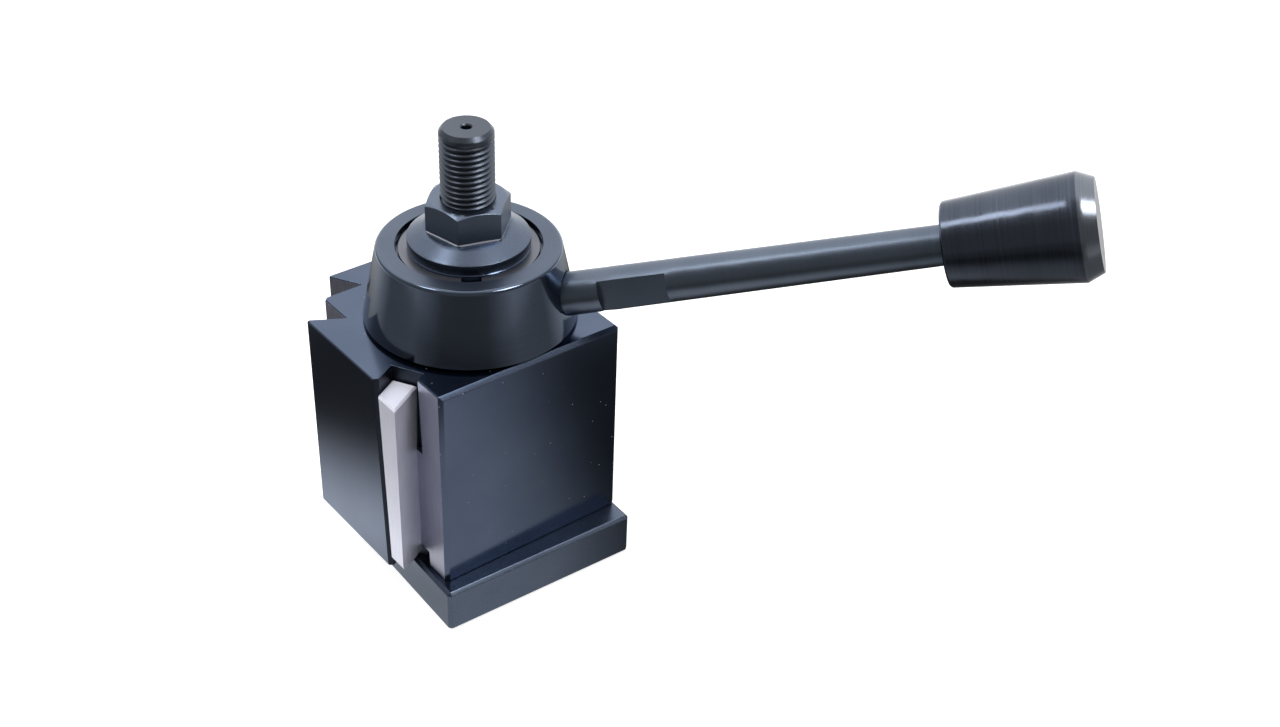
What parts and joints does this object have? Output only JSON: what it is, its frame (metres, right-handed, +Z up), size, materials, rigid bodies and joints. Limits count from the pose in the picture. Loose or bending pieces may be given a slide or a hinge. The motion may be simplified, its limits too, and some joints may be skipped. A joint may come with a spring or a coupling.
{
  "type": "quick-change lathe tool post",
  "caption": "Wedge-type quick-change tool post with two dovetails, a turning hub with handle and knob, and a stud with nut and T-nut.",
  "frame": {"origin": "on the stud's axis, on the underside of the T-nut", "axes": "+Z up the stud; -Y is the block's plain front face, -X and +Y carry the two dovetails"},
  "size_m": [0.1449, 0.1615, 0.1332],
  "materials": {
    "black_oxide_steel": "black oxide over ground steel, semi-gloss",
    "polished_black_steel": "black oxide over finely turned steel, glossy",
    "satin_black_steel": "black oxide, satin",
    "black_knob": "turned black knob, glossy",
    "ground_steel": "bright ground steel",
    "spring_steel": "plain spring steel"
  },
  "bodies": {
    "base": {"t_nut": "satin_black_steel", "stud": "satin_black_steel"},
    "post": {"body_block": "black_oxide_steel", "center_post": "black_oxide_steel", "center_post_screws": "satin_black_steel", "thrust_washer": "spring_steel", "snap_ring": "spring_steel"},
    "handle": {"hub": "polished_black_steel", "drive_screw": "black_oxide_steel", "drive_pins": "ground_steel", "handle_rod": "polished_black_steel", "knob": "black_knob"},
    "follower": {"follower_ring": "ground_steel"},
    "left_wedge": {"wedge_left": "ground_steel"},
    "rear_wedge": {"wedge_rear": "ground_steel"},
    "washer": {"clamp_washer": "satin_black_steel"},
    "nut": {"clamp_nut": "satin_black_steel"}
  },
  "joints": [
    {"name": "post_swivel", "type": "hinge", "parent": "base", "child": "post", "pos_m": [0, 0, 0.0129], "axis": [0, 0, 1], "continuous": true},
    {"name": "handle_turn", "type": "hinge", "parent": "post", "child": "handle", "pos_m": [0, 0, 0.0726], "axis": [0, 0, 1], "range_deg": [-45, 43.2]},
    {"name": "follower_slide", "type": "slide", "parent": "post", "child": "follower", "axis": [0, 0, 1], "range_m": [-0.0025, 0.0024]},
    {"name": "left_wedge_slide", "type": "slide", "parent": "post", "child": "left_wedge", "axis": [0, 0.0349, 0.9994], "range_m": [-0.0025, 0.0024]},
    {"name": "rear_wedge_slide", "type": "slide", "parent": "post", "child": "rear_wedge", "axis": [-0.0349, 0, 0.9994], "range_m": [-0.0025, 0.0024]},
    {"name": "nut_lift", "type": "slide", "parent": "base", "child": "washer", "axis": [0, 0, 1], "range_m": [0, 0.006]},
    {"name": "nut_turn", "type": "hinge", "parent": "washer", "child": "nut", "pos_m": [0, 0, 0.09895], "axis": [0, 0, 1], "range_deg": [0, 1440.1]}
  ],
  "couplings": [
    {"joint": "follower_slide", "follows": "handle_turn", "m_per_rad": 0.0031831},
    {"joint": "left_wedge_slide", "follows": "handle_turn", "m_per_rad": 0.003185},
    {"joint": "rear_wedge_slide", "follows": "handle_turn", "m_per_rad": 0.003185},
    {"joint": "nut_turn", "follows": "nut_lift", "rad_per_m": 4188.8}
  ]
}
